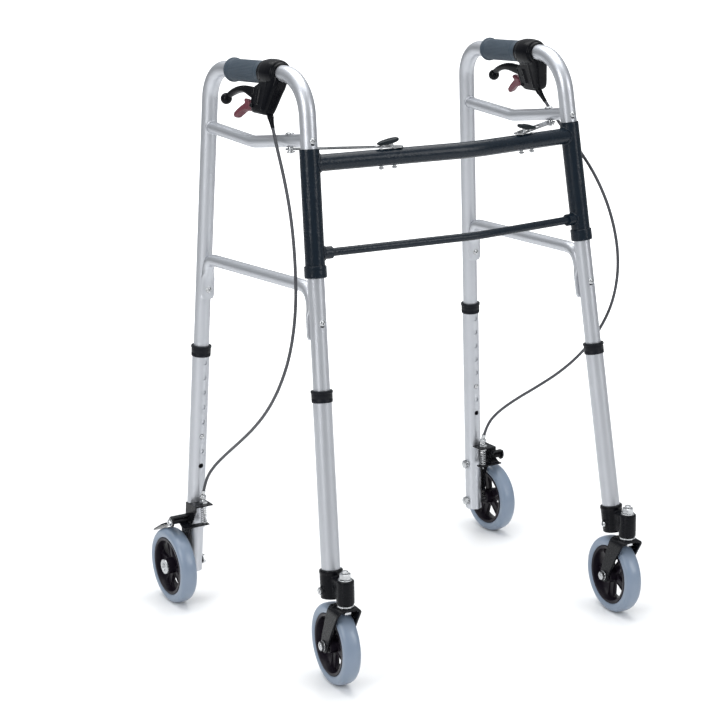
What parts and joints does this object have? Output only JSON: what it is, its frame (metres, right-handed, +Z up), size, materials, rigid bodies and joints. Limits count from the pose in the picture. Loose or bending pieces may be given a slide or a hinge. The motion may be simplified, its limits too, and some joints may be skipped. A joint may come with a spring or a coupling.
{
  "type": "walking frame",
  "caption": "Folding aluminium walking frame with swivel front casters, braked rear wheels, height-adjustable legs and a dark painted front frame.",
  "frame": {"origin": "on the floor, midway between the two side frames and between the front and rear wheels' extents", "axes": "+Z up, the front faces -Y, +X is the left side of the person who uses it"},
  "size_m": [0.686, 0.5584, 0.9236],
  "materials": {
    "satin_aluminium": "satin anodised",
    "hammered_paint": "hammered gloss",
    "zinc_steel": "zinc plated",
    "slate_rubber": "matte",
    "black_plastic": "gloss",
    "collar_plastic": "satin",
    "black_metal": "gloss",
    "cable_jacket": "satin",
    "rim_plastic": "gloss",
    "blue_grey_tyre": "smooth",
    "maroon_plastic": "satin",
    "tab_plastic": "satin"
  },
  "bodies": {
    "front_frame": {"hinge_sleeves": "hammered_paint", "upper_crossbar": "hammered_paint", "lower_crossbar": "hammered_paint", "latch_hardware": "zinc_steel"},
    "left_side": {"left_side_tube": "satin_aluminium", "left_upper_brace": "satin_aluminium", "left_lower_brace": "satin_aluminium", "left_side_fasteners": "zinc_steel", "left_hand_grip": "slate_rubber", "left_brake_housing": "black_plastic", "left_brake_cable": "cable_jacket"},
    "left_front_leg_body": {"left_front_leg": "satin_aluminium", "left_front_collar": "collar_plastic", "left_caster_bracket": "black_plastic"},
    "left_rear_leg_body": {"left_rear_leg": "satin_aluminium", "left_rear_collar": "collar_plastic", "left_brake_bracket": "black_metal", "left_rear_leg_hardware": "zinc_steel", "left_brake_spring": "zinc_steel"},
    "left_caster": {"left_caster_fork": "black_metal", "left_caster_hardware": "zinc_steel"},
    "left_caster_wheel": {"left_caster_rim": "rim_plastic", "left_caster_tyre": "blue_grey_tyre"},
    "left_rear_wheel": {"left_rear_rim": "rim_plastic", "left_rear_tyre": "blue_grey_tyre"},
    "left_lever": {"left_brake_lever": "black_plastic"},
    "left_lock": {"left_parking_lock": "maroon_plastic"},
    "left_brake_shoe": {"left_brake_arm": "black_metal"},
    "left_front_snap": {"left_front_button": "zinc_steel"},
    "left_rear_snap": {"left_rear_button": "zinc_steel"},
    "left_link": {"left_latch_link": "zinc_steel"},
    "left_tab": {"left_latch_tab": "tab_plastic"},
    "right_side": {"right_side_tube": "satin_aluminium", "right_upper_brace": "satin_aluminium", "right_lower_brace": "satin_aluminium", "right_side_fasteners": "zinc_steel", "right_hand_grip": "slate_rubber", "right_brake_housing": "black_plastic", "right_brake_cable": "cable_jacket"},
    "right_front_leg_body": {"right_front_leg": "satin_aluminium", "right_front_collar": "collar_plastic", "right_caster_bracket": "black_plastic"},
    "right_rear_leg_body": {"right_rear_leg": "satin_aluminium", "right_rear_collar": "collar_plastic", "right_brake_bracket": "black_metal", "right_rear_leg_hardware": "zinc_steel", "right_brake_spring": "zinc_steel"},
    "right_caster": {"right_caster_fork": "black_metal", "right_caster_hardware": "zinc_steel"},
    "right_caster_wheel": {"right_caster_rim": "rim_plastic", "right_caster_tyre": "blue_grey_tyre"},
    "right_rear_wheel": {"right_rear_rim": "rim_plastic", "right_rear_tyre": "blue_grey_tyre"},
    "right_lever": {"right_brake_lever": "black_plastic"},
    "right_lock": {"right_parking_lock": "maroon_plastic"},
    "right_brake_shoe": {"right_brake_arm": "black_metal"},
    "right_front_snap": {"right_front_button": "zinc_steel"},
    "right_rear_snap": {"right_rear_button": "zinc_steel"},
    "right_link": {"right_latch_link": "zinc_steel"},
    "right_tab": {"right_latch_tab": "tab_plastic"}
  },
  "joints": [
    {"name": "left_fold", "type": "hinge", "parent": "front_frame", "child": "left_side", "pos_m": [0.24179, -0.12666, 0.715], "axis": [-0.0454, 0.1492, 0.9878], "range_deg": [0, 82]},
    {"name": "left_front_leg_slide", "type": "slide", "parent": "left_side", "child": "left_front_leg_body", "axis": [-0.0454, 0.1492, 0.9878], "range_m": [-0.1016, 0.0508]},
    {"name": "left_rear_leg_slide", "type": "slide", "parent": "left_side", "child": "left_rear_leg_body", "axis": [-0.0522, -0.0397, 0.9978], "range_m": [-0.1016, 0.0508], "deforming": ["left_brake_cable"]},
    {"name": "left_caster_swivel", "type": "hinge", "parent": "left_front_leg_body", "child": "left_caster", "pos_m": [0.267, -0.25, 0.15], "axis": [0, 0, 1], "continuous": true},
    {"name": "left_caster_wheel_spin", "type": "hinge", "parent": "left_caster", "child": "left_caster_wheel", "pos_m": [0.27005, -0.21513, 0.0635], "axis": [0.9962, -0.0872, 0], "continuous": true},
    {"name": "left_rear_wheel_spin", "type": "hinge", "parent": "left_rear_leg_body", "child": "left_rear_wheel", "pos_m": [0.3234, 0.21607, 0.0635], "axis": [1, 0, 0], "continuous": true},
    {"name": "left_lever_pull", "type": "hinge", "parent": "left_side", "child": "left_lever", "pos_m": [0.24643, 0.00578, 0.86731], "axis": [0.9615, -0.0204, 0.274], "range_deg": [0, 7], "stiffness_Nm_per_rad": 1.2},
    {"name": "left_lock_press", "type": "hinge", "parent": "left_side", "child": "left_lock", "pos_m": [0.25159, 0.01568, 0.84996], "axis": [-0.9615, 0.0204, -0.274], "range_deg": [0, 20]},
    {"name": "left_brake_apply", "type": "hinge", "parent": "left_rear_leg_body", "child": "left_brake_shoe", "pos_m": [0.31, 0.199, 0.146], "axis": [-1, 0, 0], "range_deg": [0, 3.08], "deforming": ["left_brake_spring"]},
    {"name": "left_front_snap_press", "type": "slide", "parent": "left_side", "child": "left_front_snap", "axis": [0, -1, 0], "range_m": [0, 0.0036], "stiffness_N_per_m": 900},
    {"name": "left_rear_snap_press", "type": "slide", "parent": "left_side", "child": "left_rear_snap", "axis": [0, 1, 0], "range_m": [0, 0.0036], "stiffness_N_per_m": 900},
    {"name": "left_link_swing", "type": "hinge", "parent": "left_side", "child": "left_link", "pos_m": [0.2399, -0.06184, 0.7947], "axis": [0.0454, -0.1492, -0.9878], "range_deg": [0, 82]},
    {"name": "left_tab_lift", "type": "hinge", "parent": "left_link", "child": "left_tab", "pos_m": [0.16085, -0.1274, 0.7964], "axis": [-0.1342, 0.991, 0], "range_deg": [0, 25], "stiffness_Nm_per_rad": 0.15},
    {"name": "right_fold", "type": "hinge", "parent": "front_frame", "child": "right_side", "pos_m": [-0.24179, -0.12666, 0.715], "axis": [-0.0454, -0.1492, -0.9878], "range_deg": [0, 60]},
    {"name": "right_front_leg_slide", "type": "slide", "parent": "right_side", "child": "right_front_leg_body", "axis": [0.0454, 0.1492, 0.9878], "range_m": [-0.1016, 0.0508]},
    {"name": "right_rear_leg_slide", "type": "slide", "parent": "right_side", "child": "right_rear_leg_body", "axis": [0.0522, -0.0397, 0.9978], "range_m": [-0.1016, 0.0508], "deforming": ["right_brake_cable"]},
    {"name": "right_caster_swivel", "type": "hinge", "parent": "right_front_leg_body", "child": "right_caster", "pos_m": [-0.267, -0.25, 0.15], "axis": [0, 0, 1], "continuous": true},
    {"name": "right_caster_wheel_spin", "type": "hinge", "parent": "right_caster", "child": "right_caster_wheel", "pos_m": [-0.26395, -0.21513, 0.0635], "axis": [0.9962, -0.0872, 0], "continuous": true},
    {"name": "right_rear_wheel_spin", "type": "hinge", "parent": "right_rear_leg_body", "child": "right_rear_wheel", "pos_m": [-0.3234, 0.21607, 0.0635], "axis": [1, 0, 0], "continuous": true},
    {"name": "right_lever_pull", "type": "hinge", "parent": "right_side", "child": "right_lever", "pos_m": [-0.24643, 0.00578, 0.86731], "axis": [0.9615, 0.0204, -0.274], "range_deg": [0, 7], "stiffness_Nm_per_rad": 1.2},
    {"name": "right_lock_press", "type": "hinge", "parent": "right_side", "child": "right_lock", "pos_m": [-0.25159, 0.01568, 0.84996], "axis": [-0.9615, -0.0204, 0.274], "range_deg": [0, 20]},
    {"name": "right_brake_apply", "type": "hinge", "parent": "right_rear_leg_body", "child": "right_brake_shoe", "pos_m": [-0.31, 0.199, 0.146], "axis": [-1, 0, 0], "range_deg": [0, 3.08], "deforming": ["right_brake_spring"]},
    {"name": "right_front_snap_press", "type": "slide", "parent": "right_side", "child": "right_front_snap", "axis": [0, -1, 0], "range_m": [0, 0.0036], "stiffness_N_per_m": 900},
    {"name": "right_rear_snap_press", "type": "slide", "parent": "right_side", "child": "right_rear_snap", "axis": [0, 1, 0], "range_m": [0, 0.0036], "stiffness_N_per_m": 900},
    {"name": "right_link_swing", "type": "hinge", "parent": "right_side", "child": "right_link", "pos_m": [-0.2399, -0.06184, 0.7947], "axis": [0.0454, 0.1492, 0.9878], "range_deg": [0, 60]},
    {"name": "right_tab_lift", "type": "hinge", "parent": "right_link", "child": "right_tab", "pos_m": [-0.12891, -0.12821, 0.7964], "axis": [-0.1028, -0.9947, 0], "range_deg": [0, 25], "stiffness_Nm_per_rad": 0.15}
  ],
  "couplings": [
    {"joint": "left_brake_apply", "follows": "left_lever_pull", "ratio": 0.439},
    {"joint": "left_link_swing", "follows": "left_fold", "ratio": 1},
    {"joint": "right_brake_apply", "follows": "right_lever_pull", "ratio": 0.439},
    {"joint": "right_link_swing", "follows": "right_fold", "ratio": 1}
  ]
}
